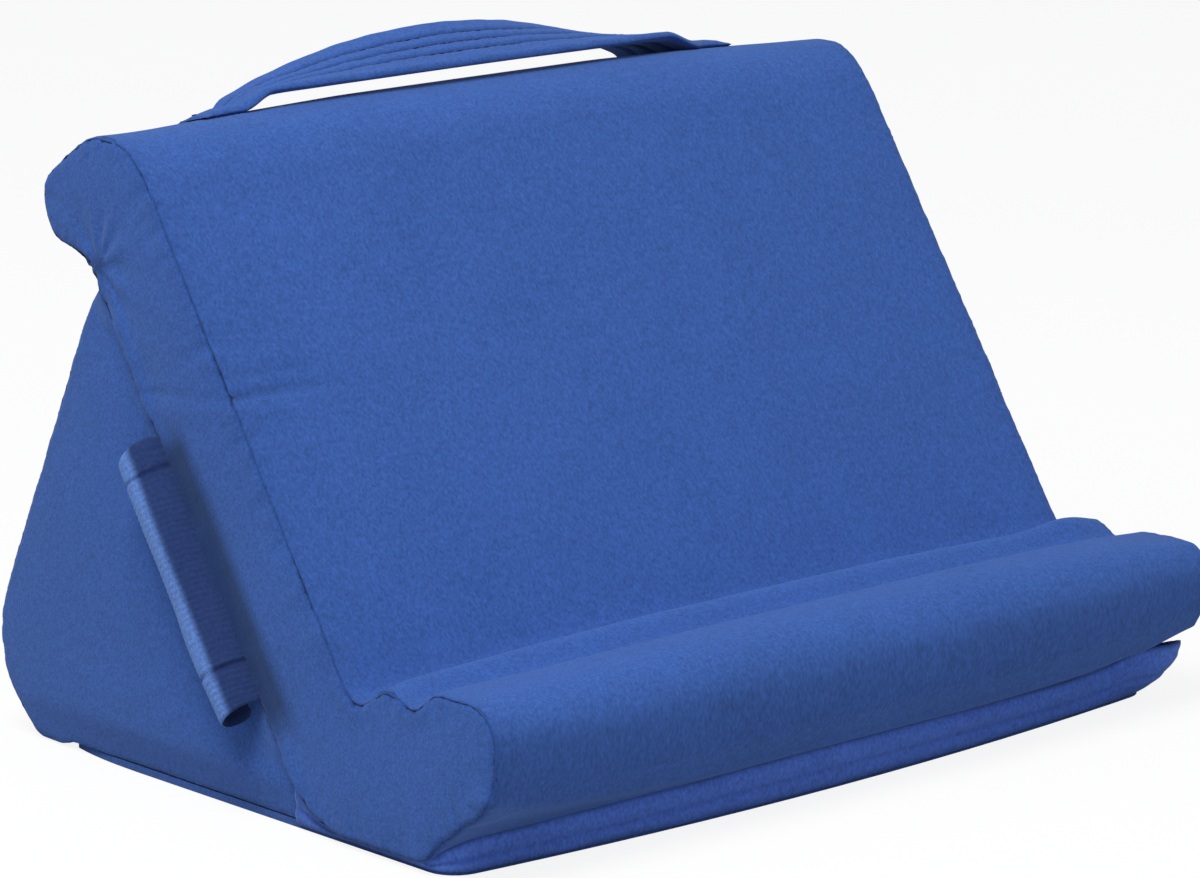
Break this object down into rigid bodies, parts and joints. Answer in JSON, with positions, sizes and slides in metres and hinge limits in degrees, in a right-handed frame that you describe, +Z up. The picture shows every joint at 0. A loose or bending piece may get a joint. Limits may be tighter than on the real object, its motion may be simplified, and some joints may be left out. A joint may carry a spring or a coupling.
{
  "type": "tablet cushion stand",
  "caption": "Padded wedge stand that holds a tablet against a leaning face behind a rolled ledge, with a carry handle on top and a stylus sleeve at the side.",
  "frame": {"origin": "on the flat underside, in the middle of the width, below the middle of the depth", "axes": "+X along the width, to the right as seen from the front; +Y to the back; +Z up"},
  "size_m": [0.2925, 0.2241, 0.1963],
  "materials": {
    "pad_foam": "pale cushion foam",
    "pad_cover_plush": "brushed blue plush",
    "pad_end_left_plush": "brushed blue plush",
    "pad_end_right_plush": "brushed blue plush",
    "wedge_foam": "pale cushion foam",
    "wedge_side_left_plush": "brushed blue plush",
    "wedge_side_right_plush": "brushed blue plush",
    "wedge_back_plush": "brushed blue plush",
    "bottom_plush": "darker blue plush",
    "front_strip_plush": "brushed blue plush",
    "sleeve_plush": "darker blue plush",
    "handle_plush": "brushed blue plush, stitched along its length"
  },
  "bodies": {
    "root": {"face_pad_foam": "pad_foam", "face_pad_cover": "pad_cover_plush", "face_pad_end_left": "pad_end_left_plush", "face_pad_end_right": "pad_end_right_plush", "wedge_foam": "wedge_foam", "wedge_side_left": "wedge_side_left_plush", "wedge_side_right": "wedge_side_right_plush", "wedge_back_cover": "wedge_back_plush", "bottom_panel": "bottom_plush", "front_strip": "front_strip_plush", "stylus_sleeve": "sleeve_plush", "carry_handle": "handle_plush"}
  },
  "joints": []
}
